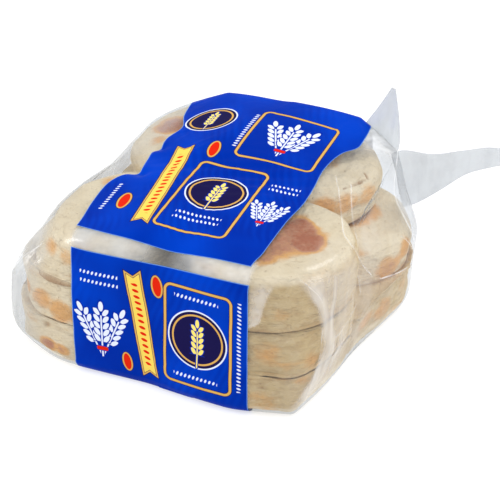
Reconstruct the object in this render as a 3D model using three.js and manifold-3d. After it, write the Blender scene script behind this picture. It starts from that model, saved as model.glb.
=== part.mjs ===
// A shut clear bag of twelve English muffins: four stacks of three under one taut film, with the
// film's loose end flared into two lobes at the back right corner. Millimetres, +Z up. The origin is
// under the middle of the pack, on the surface that it lies on; +X runs along the bag to its loose
// end and -Y is the printed front.
import * as THREE from "three";
import { mergeVertices } from "three/addons/utils/BufferGeometryUtils.js";
import Module from "manifold-3d";

// ---- Driving dimensions ------------------------------------------------------------------------
const MUFFIN_RADIUS = 46.5; // of a plain muffin, seen from above
const MUFFIN_HALF_HEIGHT = 15.7;
const MUFFIN_SHOULDER = 8; // radius of the rounded rim between its side and its faces
const FILM_CLEARANCE = 1.2; // film and trapped air outside the bread
const LAYER_HEIGHTS = [1, 3, 5].map((k) => FILM_CLEARANCE + k * MUFFIN_HALF_HEIGHT);

// Each stack from the bottom up: centre, and what differs from a plain muffin. tilt is in degrees,
// with the +X side down; stretch is the depth along Y over the width along X; lift is extra height.
const STACKS = {
  frontRight: [
    { x: 35, y: -52, radius: 47 },
    { x: 44, y: -50 },
    { x: 46, y: -49, shoulder: 10 },
  ],
  frontLeft: [
    { x: -65, y: -49.5, radius: 46.7 },
    { x: -62, y: -49 },
    { x: -47, y: -49, radius: 45, shoulder: 10, tilt: -7, lift: -2 },
  ],
  backRight: [
    { x: 52.5, y: 42, radius: 47 },
    { x: 55, y: 44, radius: 46, shoulder: 11, tilt: 8 },
    { x: 35, y: 46, radius: 43, shoulder: 11, tilt: 9, stretch: 1.08, lift: 2 },
  ],
  backLeft: [
    { x: -48, y: 47, radius: 46 },
    { x: -46, y: 47, radius: 45, shoulder: 10 },
    { x: -42, y: 48, radius: 41, shoulder: 12, tilt: -12, stretch: 1.12, lift: 3.5 },
  ],
};

// Where the film stands off the bread: corners and folds that it is pulled over, as small balls.
const FILM_CORNERS = [
  { at: [81, 71, 94], radius: 2.5 }, // root of the flared end
  { at: [48, 89, 97.5], radius: 7 }, // back top edge, from the right to the left
  { at: [4, 90, 99.5], radius: 7 },
  { at: [-40, 87.5, 96.5], radius: 7 },
  { at: [-98.5, -71, 61], radius: 8 }, // slack left end, from the top down
  { at: [-99.5, -76, 48], radius: 13 },
  { at: [-98, -77, 20], radius: 16 },
  { at: [71, -84.5, 8], radius: 8 }, // front bottom corner, right
];

const FILM_SAG = 6; // the most that the film dips where it spans a gap
const SAG_SHARE = 0.25; // share of a small gap that it dips
const SAG_START = 12; // height over which the dip's upright part fades out, so the underside is flat
const NORMAL_COUNT = 6000; // directions that the film's pull is worked out in
const CORE = new THREE.Vector3(0, 0, 48); // the point that the film is drawn round
const BLANK = { width: 200, depth: 190, height: 100, columns: 32, files: 30, rows: 15 };

// The flared end: each lobe lies between two edges that run from inside the pack to the tip.
const LOBE_THICKNESS = 3;
const LOBES = [
  {
    facing: [-0.38, -0.92, 0],
    left: [[50, 86, 88], [53, 90, 98], [63, 85, 115.5], [72.5, 79, 133]],
    right: [[76, 68, 86], [81, 72, 96], [80, 75, 112], [75.5, 77.5, 133]],
    columns: 5,
    rows: 14,
  },
  {
    facing: [0, -1, 0],
    left: [[72, 66, 90], [84, 71, 95.5], [103, 72, 96.5], [122, 72, 103], [138, 72, 108.5], [155, 71, 110]],
    right: [[80, 66, 54], [94, 73, 58], [109, 73, 71], [124, 73, 85.5], [138, 72, 94], [155, 71, 102]],
    columns: 5,
    rows: 20,
  },
];

const FILM_LOOK = { color: 0xd9dfe6, roughness: 0.25, metalness: 0 };

// ---- Muffins -----------------------------------------------------------------------------------
// A muffin is a flat ellipse swept by a ball: a rounded disc, tilted about the Y axis.
function makeMuffin(place, layer) {
  const { x, y, tilt = 0, lift = 0, stretch = 1 } = place;
  const { radius = MUFFIN_RADIUS, shoulder = MUFFIN_SHOULDER } = place;
  const turn = new THREE.Quaternion();
  turn.setFromAxisAngle(new THREE.Vector3(0, 1, 0), THREE.MathUtils.degToRad(tilt));
  return {
    centre: new THREE.Vector3(x, y, LAYER_HEIGHTS[layer] + lift),
    unturn: turn.invert(),
    plate: radius - shoulder,
    core: MUFFIN_HALF_HEIGHT - shoulder,
    shoulder,
    stretch,
  };
}

// How far the muffin reaches along a unit normal.
function muffinSupport(muffin, normal) {
  const n = normal.clone().applyQuaternion(muffin.unturn);
  const flat = muffin.plate * Math.hypot(n.x, muffin.stretch * n.y);
  return muffin.centre.dot(normal) + flat + muffin.core * Math.abs(n.z) + muffin.shoulder;
}

// Distance from a point to the muffin's surface, less than nothing inside it.
function muffinDistance(muffin, point) {
  const p = point.clone().sub(muffin.centre).applyQuaternion(muffin.unturn);
  const across = Math.hypot(p.x, p.y / muffin.stretch) - muffin.plate;
  const above = Math.abs(p.z) - muffin.core;
  const outside = Math.hypot(Math.max(across, 0), Math.max(above, 0));
  return outside + Math.min(Math.max(across, above), 0) - muffin.shoulder;
}

// ---- Film --------------------------------------------------------------------------------------
// Unit normals spread evenly over the sphere by the golden angle, and the six main directions.
function spreadNormals(count) {
  const goldenAngle = Math.PI * (1 + Math.sqrt(5));
  const normals = [];
  for (let i = 0; i < count; i++) {
    const z = 1 - (2 * (i + 0.5)) / count;
    const ring = Math.sqrt(1 - z * z);
    const angle = goldenAngle * (i + 0.5);
    normals.push(new THREE.Vector3(ring * Math.cos(angle), ring * Math.sin(angle), z));
  }
  for (const sign of [-1, 1]) {
    normals.push(new THREE.Vector3(sign, 0, 0));
    normals.push(new THREE.Vector3(0, sign, 0));
    normals.push(new THREE.Vector3(0, 0, sign));
  }
  return normals;
}

// The planes that taut film can't cross: for each normal, the furthest that anything inside reaches.
function filmPlanes(muffins) {
  return spreadNormals(NORMAL_COUNT).map((normal) => {
    const reaches = muffins.map((muffin) => muffinSupport(muffin, normal) + FILM_CLEARANCE);
    for (const { at, radius } of FILM_CORNERS) {
      reaches.push(normal.dot(new THREE.Vector3(...at)) + radius);
    }
    return { normal, offset: Math.max(...reaches) - normal.dot(CORE) };
  });
}

// Where a ray from CORE meets the taut film, on the nearest of the planes ahead, and its facing there.
function tautPoint(direction, planes) {
  let reach = Infinity;
  let facing = direction;
  for (const { normal, offset } of planes) {
    const ahead = direction.dot(normal);
    if (ahead * reach > offset) {
      reach = offset / ahead;
      facing = normal;
    }
  }
  return { point: CORE.clone().addScaledVector(direction, reach), facing };
}

// The film's dip at a point of the taut surface: against its facing, and deeper over a wider gap.
function dipAt(point, facing, muffins) {
  const nearest = Math.min(...muffins.map((muffin) => muffinDistance(muffin, point)));
  const gap = Math.max(nearest - FILM_CLEARANCE, 0);
  const dip = FILM_SAG * (1 - Math.exp((-SAG_SHARE * gap) / FILM_SAG));
  const upright = THREE.MathUtils.clamp(point.z / SAG_START, 0, 1);
  return new THREE.Vector3(facing.x, facing.y, facing.z * upright).multiplyScalar(-dip);
}

// A gridded box whose every vertex moves along its ray from CORE on to the film.
function filmGeometry(muffins) {
  const { width, depth, height, columns, files, rows } = BLANK;
  const blank = new THREE.BoxGeometry(width, depth, height, columns, files, rows);
  blank.deleteAttribute("normal");
  blank.deleteAttribute("uv");
  const geometry = mergeVertices(blank);
  const planes = filmPlanes(muffins);
  const position = geometry.getAttribute("position");
  const direction = new THREE.Vector3();
  for (let i = 0; i < position.count; i++) {
    direction.fromBufferAttribute(position, i).normalize();
    const { point, facing } = tautPoint(direction, planes);
    point.add(dipAt(point, facing, muffins));
    position.setXYZ(i, point.x, point.y, Math.max(point.z, 0));
  }
  return geometry;
}

// A thin sheet ruled between two smooth edges, from a box gridded across and along.
function lobeGeometry({ facing, left, right, columns, rows }) {
  const blank = new THREE.BoxGeometry(1, 1, LOBE_THICKNESS, columns, rows, 1);
  blank.deleteAttribute("normal");
  blank.deleteAttribute("uv");
  const geometry = mergeVertices(blank);
  const smooth = (points) =>
    new THREE.CatmullRomCurve3(points.map((p) => new THREE.Vector3(...p)), false, "catmullrom", 0.5);
  const leftEdge = smooth(left);
  const rightEdge = smooth(right);
  const normal = new THREE.Vector3(...facing).normalize();
  const position = geometry.getAttribute("position");
  for (let i = 0; i < position.count; i++) {
    const across = position.getX(i) + 0.5;
    const along = position.getY(i) + 0.5;
    const point = leftEdge.getPoint(along).lerp(rightEdge.getPoint(along), across);
    point.addScaledVector(normal, position.getZ(i));
    position.setXYZ(i, point.x, point.y, point.z);
  }
  return geometry;
}

// ---- Joining -----------------------------------------------------------------------------------
const wasm = await Module();
wasm.setup();

function toSolid(geometry) {
  const merged = mergeVertices(geometry);
  const vertProperties = new Float32Array(merged.getAttribute("position").array);
  const triVerts = new Uint32Array(merged.index.array);
  const solid = new wasm.Manifold(new wasm.Mesh({ numProp: 3, vertProperties, triVerts }));
  if (solid.volume() > 0) return solid;
  for (let i = 0; i < triVerts.length; i += 3) {
    [triVerts[i + 1], triVerts[i + 2]] = [triVerts[i + 2], triVerts[i + 1]];
  }
  return new wasm.Manifold(new wasm.Mesh({ numProp: 3, vertProperties, triVerts }));
}

function toGeometry(solid) {
  const { vertProperties, triVerts } = solid.getMesh();
  const geometry = new THREE.BufferGeometry();
  geometry.setAttribute("position", new THREE.BufferAttribute(vertProperties, 3));
  geometry.setIndex(new THREE.BufferAttribute(triVerts, 1));
  geometry.computeVertexNormals();
  return geometry;
}

// ---- The bag -----------------------------------------------------------------------------------
const muffins = Object.values(STACKS).flatMap((stack) => stack.map(makeMuffin));
const body = toSolid(filmGeometry(muffins));
const bag = LOBES.map(lobeGeometry).map(toSolid).reduce((sum, lobe) => sum.add(lobe), body);

const muffinBag = new THREE.Mesh(toGeometry(bag), new THREE.MeshStandardMaterial(FILM_LOOK));
muffinBag.name = "muffin_bag";

const part = new THREE.Group();
part.add(muffinBag);

export default part;
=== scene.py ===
"""A shut clear bag of twelve English muffins with a blue printed band, dressed for rendering.

Every shape is worked out in millimetres and goes into its mesh in metres. The bag lies on its
underside: +X runs along it to the flared loose end, -Y is the printed front and +Z is up.
"""
import math

import bpy
import numpy as np
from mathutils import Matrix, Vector


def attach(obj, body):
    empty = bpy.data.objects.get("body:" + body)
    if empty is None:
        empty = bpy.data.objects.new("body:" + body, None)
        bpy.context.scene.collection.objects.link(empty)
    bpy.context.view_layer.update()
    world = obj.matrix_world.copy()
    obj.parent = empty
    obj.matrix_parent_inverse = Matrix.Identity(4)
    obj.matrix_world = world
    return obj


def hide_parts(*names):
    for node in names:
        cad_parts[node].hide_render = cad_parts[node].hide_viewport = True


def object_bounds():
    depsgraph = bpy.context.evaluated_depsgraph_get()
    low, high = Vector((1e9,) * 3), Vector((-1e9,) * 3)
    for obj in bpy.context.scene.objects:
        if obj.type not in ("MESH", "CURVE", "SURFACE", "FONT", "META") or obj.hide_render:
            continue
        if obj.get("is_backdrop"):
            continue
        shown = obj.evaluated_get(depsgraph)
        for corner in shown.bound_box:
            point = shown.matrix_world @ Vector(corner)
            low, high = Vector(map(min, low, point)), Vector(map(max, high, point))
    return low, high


bl_info = {
    "name": "Bagged English Muffins",
    "version": (1, 0, 0),
    "blender": (4, 5, 0),
    "location": "View3D > Sidebar > Muffin Bag",
    "description": "Builds a clear printed bag of twelve English muffins round its packed solid",
    "category": "Add Mesh",
}

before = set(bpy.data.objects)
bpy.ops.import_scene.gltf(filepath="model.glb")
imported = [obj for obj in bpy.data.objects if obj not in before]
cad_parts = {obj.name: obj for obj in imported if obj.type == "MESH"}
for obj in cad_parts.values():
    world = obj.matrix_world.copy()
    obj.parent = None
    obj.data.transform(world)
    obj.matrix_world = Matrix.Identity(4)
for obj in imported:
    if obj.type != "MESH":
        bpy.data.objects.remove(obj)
CAD_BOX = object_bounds()
MM = 0.001
BAG_NODE = "muffin_bag"

# ---- The bread, in millimetres ---------------------------------------
MUFFIN_RADIUS = 46.5
MUFFIN_HALF_HEIGHT = 15.7
MUFFIN_SHOULDER = 8
FILM_CLEARANCE = 1.2
LAYER_NAMES = ("bottom", "middle", "top")
LAYER_HEIGHTS = [FILM_CLEARANCE + k * MUFFIN_HALF_HEIGHT for k in (1, 3, 5)]

# Each stack from the bottom up. tilt is in degrees about Y, with the +X side down; stretch is the
# depth along Y over the width along X; lift is extra height.
STACKS = {
    "front_right": [
        {"x": 35, "y": -52, "radius": 47},
        {"x": 44, "y": -50},
        {"x": 46, "y": -49, "shoulder": 10},
    ],
    "front_left": [
        {"x": -65, "y": -49.5, "radius": 46.7},
        {"x": -62, "y": -49},
        {"x": -47, "y": -49, "radius": 45, "shoulder": 10, "tilt": -7, "lift": -2},
    ],
    "back_right": [
        {"x": 52.5, "y": 42, "radius": 47},
        {"x": 55, "y": 44, "radius": 46, "shoulder": 11, "tilt": 8},
        {"x": 35, "y": 46, "radius": 43, "shoulder": 11, "tilt": 9, "stretch": 1.08, "lift": 2},
    ],
    "back_left": [
        {"x": -48, "y": 47, "radius": 46},
        {"x": -46, "y": 47, "radius": 45, "shoulder": 10},
        {"x": -42, "y": 48, "radius": 41, "shoulder": 12, "tilt": -12, "stretch": 1.12,
         "lift": 3.5},
    ],
}
# Joints between two muffins that are pressed shut, by the layer under each.
PRESSED_JOINTS = {"front_right": (0, 1), "front_left": (0, 1), "back_right": (0,)}
PRESSED_SHOULDER = 1.9  # of the rims at those joints, where two muffins press on each other
BOTTOM_SHOULDER = 5  # of the rims that the pack stands on
BULGE = 1.1  # how far a muffin's side draws in towards its faces
SPREAD = {
    "front_right_bottom": 12, "front_right_middle": 4, "front_right_top": 3,
    "front_left_bottom": 5, "front_left_middle": 5, "front_left_top": 4,
    "back_right_bottom": 8, "back_right_middle": -1,
    "back_left_bottom": 8, "back_left_middle": 10, "back_left_top": 4,
}  # how far soft bread spreads out against the film
# Where one muffin spreads further out: that stretch's middle and width in degrees, and how far.
LEANING = {"back_right_bottom": (-57, 30, 19), "front_left_top": (-140, 45, 8)}
SETTLED_STACK = "front_right"
SETTLED_JOINTS = ((64.0, 16.0), (32.6, 14.0))  # height of a joint, and the reach of its settling
SETTLED_BY = 4.0

# The bread's unevenness from broad to fine: height, how far it is drawn out level, and lump size.
UNEVEN = ((1.0, 1, 27), (0.9, 0.8, 11), (0.45, 0.6, 5.5), (0.12, 1, 2.6))
FORK_LINE_DEPTH, CREASE_DEPTH, PIT_DEPTH = 0.8, 0.8, 0.4
FORK_LINE_WANDER, FORK_LINE_WIDTH = 1.8, 1.6
# How much painted shade each kind of crease gets, up to 1: fork line, level creases, pits, dents,
# and joints.
CREASE_SHADE = (0.28, 0.2, 0.25, 0.22, 0.9)
TOUCHING = (0.2, 3.2)  # gap over which two muffins stop touching
PRESSED_SMOOTH = 0.85  # share of the unevenness that is lost where they touch
LEAST_GAP = 0.3  # that soft bread keeps from a neighbour's plain form
GRIDDLE_PATCH = (0.35, 0.62)  # radius, as a share of a plain muffin's, over which the patch ends
HIDDEN_BROWN, RIM_BROWN = 0.5, 0.22  # how brown that patch is, and the rims here and there
RAGGED = ((4.5, 13), (2.0, 5))  # height and size of the waves in the edges of browned places

# How tan the sides of each stack are, from 0 as pale as the faces to 1, and of one muffin apart.
# The tan is partly the crust's own colour and partly painted shade, most on the front right stack.
SIDE_TAN_AND_SHADE = {"front_right": 1.0, "front_left": 0.15, "back_right": 0.25, "back_left": 0.4,
          "back_right_bottom": 0.8}

# Browned places that differ from muffin to muffin: where, how wide, and how brown.
TOASTED = {
    "front_right_top": [((49, -49, 96), 26, 0.78), ((46, -68, 96), 14, 0.7),
                        ((66, -50, 96), 12, 0.92), ((57, -37, 96), 13, 0.88),
                        ((66, -90, 70), 9, 0.25)],
    "front_right_middle": [((60, -94, 46), 13, 0.32), ((78, -78, 36), 10, 0.3)],
    "front_right_bottom": [((75, -80, 25), 9, 0.4), ((58, -94, 12), 14, 0.25)],
    "front_left_top": [((-72, -24, 95), 11, 0.55), ((-78, -84, 77), 9, 0.36),
                       ((-66, -92, 77), 9, 0.3)],
    "front_left_middle": [((-84, -91, 44), 10, 0.46), ((-70, -95, 40), 11, 0.5),
                          ((-96, -84, 46), 8, 0.42)],
    "front_left_bottom": [((-82, -95, 12), 8, 0.72), ((-71, -98, 12), 7, 0.62),
                          ((-98, -80, 28), 9, 0.3)],
    "back_right_top": [((58, 5, 84), 11, 0.5), ((69, 15, 83), 13, 0.42), ((78, 32, 83), 12, 0.36),
                       ((35, 50, 97), 20, 0.7)],
    "back_right_middle": [((88, -6, 40), 13, 0.46), ((92, 2, 38), 13, 0.54),
                          ((96, 22, 40), 14, 0.54), ((97, 38, 47), 10, 0.42)],
    "back_right_bottom": [((88, -8, 20), 13, 0.4), ((93, 10, 18), 13, 0.42),
                          ((97, 40, 20), 12, 0.25)],
    "back_left_top": [((-62, 50, 96), 15, 0.8), ((-64, 27, 96), 9, 0.4)],
    "back_left_middle": [((-90, 50, 40), 13, 0.5)],
    "back_left_bottom": [((-90, 40, 12), 13, 0.5)],
}

# Cracks and dents in single muffins: a line from one point to another, its depth and its width.
CRACKS = {
    "front_right_top": [
        ((53, -95, 87), (59, -94, 86.5), 0.6, 0.9),
        ((74, -86, 71), (83, -77, 69), 0.6, 1.4),
        ((84, -66, 88), (90, -52, 84), 0.6, 1.1),
        ((85, -48, 94), (91, -53, 86), 0.6, 1.1),
    ],
    "front_right_middle": [
        ((40, -97, 53), (63, -93, 54), 1.4, 0.9),
        ((63, -93, 54), (72, -87, 49.5), 1.3, 1.0),
        ((72, -87, 49.5), (80, -80, 50), 0.8, 1.2),
    ],
    "front_right_bottom": [((52, -96, 24), (58, -94, 21), 0.9, 1.4)],
    "front_left_middle": [
        ((-92, -85, 51), (-70, -94, 55), 1.5, 1.1),
        ((-70, -94, 55), (-60, -96, 50), 1.3, 1.1),
    ],
    "front_left_bottom": [
        ((-96, -86, 24), (-82, -95, 26), 1.2, 1.0),
        ((-82, -95, 26), (-62, -98, 27), 1.1, 1.0),
    ],
    "back_right_top": [
        ((69, 43, 92), (73, 39, 91), 1.3, 1.2),
        ((64, 20, 92.5), (71, 33, 91), 1.1, 0.9),
        ((70, 32, 91.5), (71.5, 37, 91), 1.2, 1.0),
    ],
    "back_right_middle": [((88, 12, 62), (97, 22, 58), 0.5, 1.6)],
    "back_right_bottom": [((90, -40, 14), (93, -16, 13), 0.6, 5.0)],
}

# ---- The film, in millimetres ----------------------------------------
# Corners and folds that the film is pulled over where it stands off the bread, as small balls.
FILM_CORNERS = [
    ((81, 71, 94), 2.5),
    ((48, 89, 97.5), 7),
    ((4, 90, 99.5), 7),
    ((-40, 87.5, 96.5), 7),
    ((-98.5, -71, 61), 8),
    ((-99.5, -76, 48), 13),
    ((-98, -77, 20), 16),
    ((71, -84.5, 8), 8),
]
FILM_SAG = 6  # the most that the film dips where it spans a gap
SAG_SHARE = 0.25  # share of a small gap that it dips
SAG_START = 12  # height over which the dip's upright part and the folds fade out
CORE = np.array([0.0, 0.0, 48.0])  # the point that the film is drawn round
GAP_EASE = 2.5  # how softly one muffin's gap passes into the next one's
FILM_FLOOR = 0.6  # least height of the film
PRINT_FLOOR = 0.15  # and of the print
PRINT_OUTSIDE = 0.15  # how far the print lies outside the film's own form
UNDER_PRINT = 0.5  # how far the film lies lower where the print covers it
PRINT_EDGE = 1.5  # how wide the step down to that is
BREAD_INSIDE = 0.6  # how far the bread keeps from the film
PLEAT_RUN = (0.92, 0.38)  # the way along X and Y in which pleats follow one another
PLEAT_PITCH, PLEAT_HEIGHT = 4.8, 0.15
WAVE_PITCH, WAVE_HEIGHT = 9, 0.25  # of the waves across the pleats
BROAD_HEIGHT = 0.4  # of the film's broad soft waves

# Where the film lies clear against the front right stack: an oval seen from the front, as its
# middle in X and Z, its half widths to the left and the right, and its half height.
CLEAR_OVAL = (69.0, 50.0, 13.5, 17.0, 43.5)
GATHERING = np.array([65.0, 76.0, 98.0])  # where the film is gathered to its flared end

# Where the film is hazy: how much, and the stretches of X, Y and Z over which that comes up.
HAZY = (
    (0.26, (-76, -104), None, None),
    (0.16, (-78, -94), None, (50, 64)),
    (0.4, (84, 95), (34, 50), (38, 52)),
    (0.22, (-52, -64), (0, 20), (80, 90)),
)
GLARE_CORNER = ((42, 50), (-34, -58), (3, 16))  # where glare comes up at the front right stack
OPEN_STRIP = (None, (-80, -85), (84, 89))  # and along the front top edge
MOST_GLARE = 0.8

# Ridges (height above nothing) and furrows (below) in the film: the line's points, height, width.
FOLDS = [
    ([(80, 70, 96), (89, 45, 86), (96, 42, 68), (101, 40, 34)], 0.8, 2.2),
    ([(58, 15, 99), (76, -23, 97), (87, -40, 95), (95, -36, 80), (98, -16, 59)], 0.5, 1.2),
    ([(68, 14, 98), (84, -22, 96), (92, -35, 91)], 0.4, 1.2),
    ([(98, 0, 47), (100, 21, 39), (102, 42, 33)], 0.8, 1.4),
    ([(95, -40, 72), (95.5, -34, 58)], 0.8, 1.2),
    ([(77, -83, 91), (85, -77, 78), (86, -73, 54)], 0.8, 1.6),
    ([(86, -72, 36), (91, -60, 46), (94.5, -40, 52)], 0.7, 1.2),
    ([(85, -76, 78), (85.5, -75, 56), (83, -75, 34), (77, -80, 10)], 0.5, 1.8),
    ([(91, -55, 38), (87, -64, 24), (82, -72, 15)], 0.6, 1.3),
    ([(94, -46, 64), (93, -46, 38), (90, -52, 20)], 0.4, 1.2),
    ([(101, 30, 60), (101.5, 44, 40)], 0.5, 1.2),
    ([(-88, -84, 78), (-101, -80, 60), (-106, -77, 30)], 0.5, 1.4),
    ([(88, -68, 70), (90, -62, 40)], -0.8, 2.6),
    ([(-104, -80, 66), (-107, -78, 18)], 0.8, 2.4),
    ([(-98, -88, 70), (-101, -88, 20)], -0.7, 2.6),
    ([(-96, -93, 12), (-57, -99, 7)], 0.7, 1.6),
    ([(-54, -18, 99), (-66, -14, 96)], -2.0, 4.5),
    ([(-54, 13, 99), (-66, 10, 97)], -1.6, 3.5),
]

# Edges of the printed band over the top, as Y and X, and on the front, as X. Then, as Y and Z, the
# front panel's upper edge at its left and right, the top panel's front edge, and both ends under
# the bag.
BAND_LEFT_TOP = [(-110, -63), (-86, -63.5), (-62, -67), (-39, -68), (-25, -63), (-17, -55.5),
                 (0, -57), (10, -57.5), (14, -54.5), (28, -55), (43, -51.5), (64, -58), (92, -62),
                 (110, -62)]
BAND_RIGHT_TOP = [(-110, 47.6), (-85, 47.8), (-75, 49.2), (-63, 49.5), (-39, 50.3), (-18, 52.5),
                  (4, 51.5), (18, 50.5), (34, 51.5), (47, 54.5), (57, 60), (66, 61), (92, 59.5),
                  (110, 56)]
BAND_LEFT_FRONT = -61
BAND_RIGHT_FRONT = 50
BAND_MIDDLE = -6
STRIP_LOWER = ((-95.0, 87.4), (-95.6, 90.3))
STRIP_UPPER = (-86.5, 96)
UNDER_FRONT = (-40, 0)
UNDER_BACK = (40, 0)
BEHIND = 92  # depth from which the band's edges run straight on, down the back
BEHIND_ANGLE = 0.3
FRONT_ROWS, TOP_ROWS, PANEL_COLUMNS = 96, 210, 90
SECTION_STEPS = 700  # in which the bag's middle section is measured

# The flared end: each lobe lies between two edges that run from inside the pack to the tip.
LOBES = {
    "upper_lobe": {
        "facing": (-0.38, -0.92, 0),
        "left": [(50, 86, 88), (53, 90, 98), (63, 85, 115.5), (72.5, 79, 133)],
        "right": [(76, 68, 86), (81, 72, 96), (80, 75, 112), (75.5, 77.5, 133)],
        "start": 0.22,
    },
    "right_lobe": {
        "facing": (0, -1, 0),
        "left": [(72, 66, 90), (84, 71, 95.5), (103, 72, 96.5), (122, 72, 103), (138, 72, 108.5),
                 (155, 71, 110)],
        "right": [(80, 66, 54), (94, 73, 58), (109, 73, 71), (124, 73, 85.5), (138, 72, 94),
                  (155, 71, 102)],
        "start": 0.1,
    },
}
LOBE_THICKNESS = 0.5
LOBE_WAVE, LOBE_WAVES = 0.9, 1.6  # height of a lobe's waves, and how many lie across it

GLOSS_LEAST = 0.025  # the film's mirror share seen face on
GLOSS_MOST = 0.5  # and edge on

# ---- View and lights -------------------------------------------------
VIEW_AZIMUTH = 22.5
VIEW_ELEVATION = 33.0
VIEW_DISTANCE = 926
VIEW_TARGET = (11.0, 0, 46.2)
LENS = 108
SENSOR = 36
KEY_FROM = (0.45, -0.6, 1.3)
BEHIND_FROM = (0.6, 1.0, 0.35)
SUN_WIDTH = 50  # degrees across of both broad lights

# Soft lights beside and over the bag: power, sides and place, in watts and metres.
SOFT_LIGHTS = {
    "right_strip": (3.6, (0.2, 0.9), (1.2, -0.2, 0.45)),
    "left_strip": (10.0, (0.2, 0.9), (-1.2, -0.5, 0.5)),
    "over_right": (4.6, (0.4, 0.4), (0.45, 0.5, 1.1)),
}


# ---- Small helpers ---------------------------------------------------
def unit(vectors):
    """Vectors of the same direction and of length one."""
    return vectors / np.linalg.norm(vectors, axis=-1, keepdims=True)


def ease(values, low, high):
    """A smooth step from 0 at low to 1 at high."""
    t = np.clip((values - low) / (high - low), 0, 1)
    return t * t * (3 - 2 * t)


def region(points, *stretches):
    """How far inside a region points are: the product of smooth steps over stretches of X, Y, Z."""
    inside = np.ones(len(points))
    for values, stretch in zip(points.T, stretches):
        if stretch:
            inside = inside * ease(values, *stretch)
    return inside


CELL_KEYS = np.array([73856093, 19349663, 83492791])  # large odd numbers that set cells apart
SEED_KEY = 987643
STIR = 1274126177
KEY_RANGE = 0xFFFF


def soft_noise(points, size, seed):
    """Random heights from -1 to 1 on a cubic lattice of the given size, eased in between."""
    cell = points / size
    base = np.floor(cell).astype(np.int64)
    part = cell - base
    part = part * part * (3 - 2 * part)
    total = np.zeros(len(points))
    for corner in np.ndindex(2, 2, 2):
        key = (base + corner) @ CELL_KEYS + seed * SEED_KEY
        key = (key ^ (key >> 13)) * STIR
        height = ((key ^ (key >> 16)) & KEY_RANGE) / (KEY_RANGE / 2) - 1
        total += height * np.where(corner, part, 1 - part).prod(axis=1)
    return total


def off_stretch(points, start, run):
    """Vectors to points from the nearest places of a straight stretch."""
    offset = points - start
    along = np.clip(offset @ run / (run @ run), 0, 1)
    return offset - along[:, None] * run


def distance_to_line(points, line):
    """Distance from points to a line of straight stretches: the least over the stretches."""
    nearest = np.full(len(points), np.inf)
    line = np.array(line, float)
    for start, run in zip(line[:-1], np.diff(line, axis=0)):
        nearest = np.minimum(nearest, np.linalg.norm(off_stretch(points, start, run), axis=1))
    return nearest


def near_box(points, line, reach):
    """Which points lie within reach of a line's box."""
    off = np.abs(points - np.clip(points, line.min(axis=0), line.max(axis=0)))
    return np.flatnonzero((off < reach).all(axis=1))


def smooth_curve(knots, t):
    """A Catmull-Rom curve through the knots, at shares t of its knots from 0 to 1."""
    knots = np.array(knots, float)
    padded = np.vstack([2 * knots[0] - knots[1], knots, 2 * knots[-1] - knots[-2]])
    place = np.clip(np.asarray(t, float), 0, 1) * (len(knots) - 1)
    first = np.minimum(place.astype(int), len(knots) - 2)
    u = (place - first)[:, None]
    before, start, end, after = (padded[first + k] for k in range(4))
    return 0.5 * (
        2 * start
        + (end - before) * u
        + (2 * before - 5 * start + 4 * end - after) * u ** 2
        + (3 * start - before - 3 * end + after) * u ** 3
    )


def grid_faces(rows, columns, closed=False):
    """Quads between neighbouring rows and columns of points, numbered row by row."""
    numbers = np.arange(rows * columns).reshape(rows, columns)
    if closed:
        numbers = np.hstack([numbers, numbers[:, :1]])
    low, high = numbers[:-1], numbers[1:]
    quads = np.stack([low[:, :-1], low[:, 1:], high[:, 1:], high[:, :-1]], axis=-1)
    return quads.reshape(-1, 4).tolist()


def box_grid(cuts):
    """A closed box of quads with grid lines at the given cuts on each axis, its edges shared."""
    counts = [len(c) for c in cuts]
    quads = []
    for axis in range(3):
        first, second = (axis + 1) % 3, (axis + 2) % 3
        a, b = np.meshgrid(np.arange(counts[first] - 1), np.arange(counts[second] - 1),
                           indexing="ij")
        for end, order in ((0, (0, 3, 2, 1)), (counts[axis] - 1, (0, 1, 2, 3))):
            corners = np.empty(a.shape + (4, 3), np.int64)
            corners[..., axis] = end
            for corner, (da, db) in enumerate(((0, 0), (1, 0), (1, 1), (0, 1))):
                corners[..., corner, first] = a + da
                corners[..., corner, second] = b + db
            quads.append(corners.reshape(-1, 4, 3)[:, order])
    keys = np.concatenate(quads) @ np.array([counts[1] * counts[2], counts[2], 1])
    kept, faces = np.unique(keys, return_inverse=True)
    i, rest = np.divmod(kept, counts[1] * counts[2])
    j, k = np.divmod(rest, counts[2])
    return np.stack([cuts[0][i], cuts[1][j], cuts[2][k]], axis=1), faces.reshape(-1, 4).tolist()


def new_piece(name, points, faces, material, slot, **attributes):
    """A smooth-shaded mesh of points in millimetres that rides on the bag in its solid's place."""
    mesh = bpy.data.meshes.new(name)
    mesh.from_pydata((points * MM).tolist(), [], faces)
    for key, values in attributes.items():
        kind, field = ("FLOAT", "value") if values.ndim == 1 else ("FLOAT_VECTOR", "vector")
        layer = mesh.attributes.new(key, kind, "POINT")
        layer.data.foreach_set(field, values.astype(np.float32).ravel())
    mesh.shade_smooth()
    mesh.materials.append(material)
    piece = bpy.data.objects.new(name, mesh)
    bpy.context.scene.collection.objects.link(piece)
    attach(piece, "root")
    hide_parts(BAG_NODE)
    return piece


def outward(points, faces):
    """The faces, all turned round if the volume that they enclose comes out below nothing."""
    corners = points[np.array([f[:3] for f in faces])]
    volume = np.einsum("ij,ij->i", corners[:, 0], np.cross(corners[:, 1], corners[:, 2])).sum()
    return faces if volume > 0 else [f[::-1] for f in faces]


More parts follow.
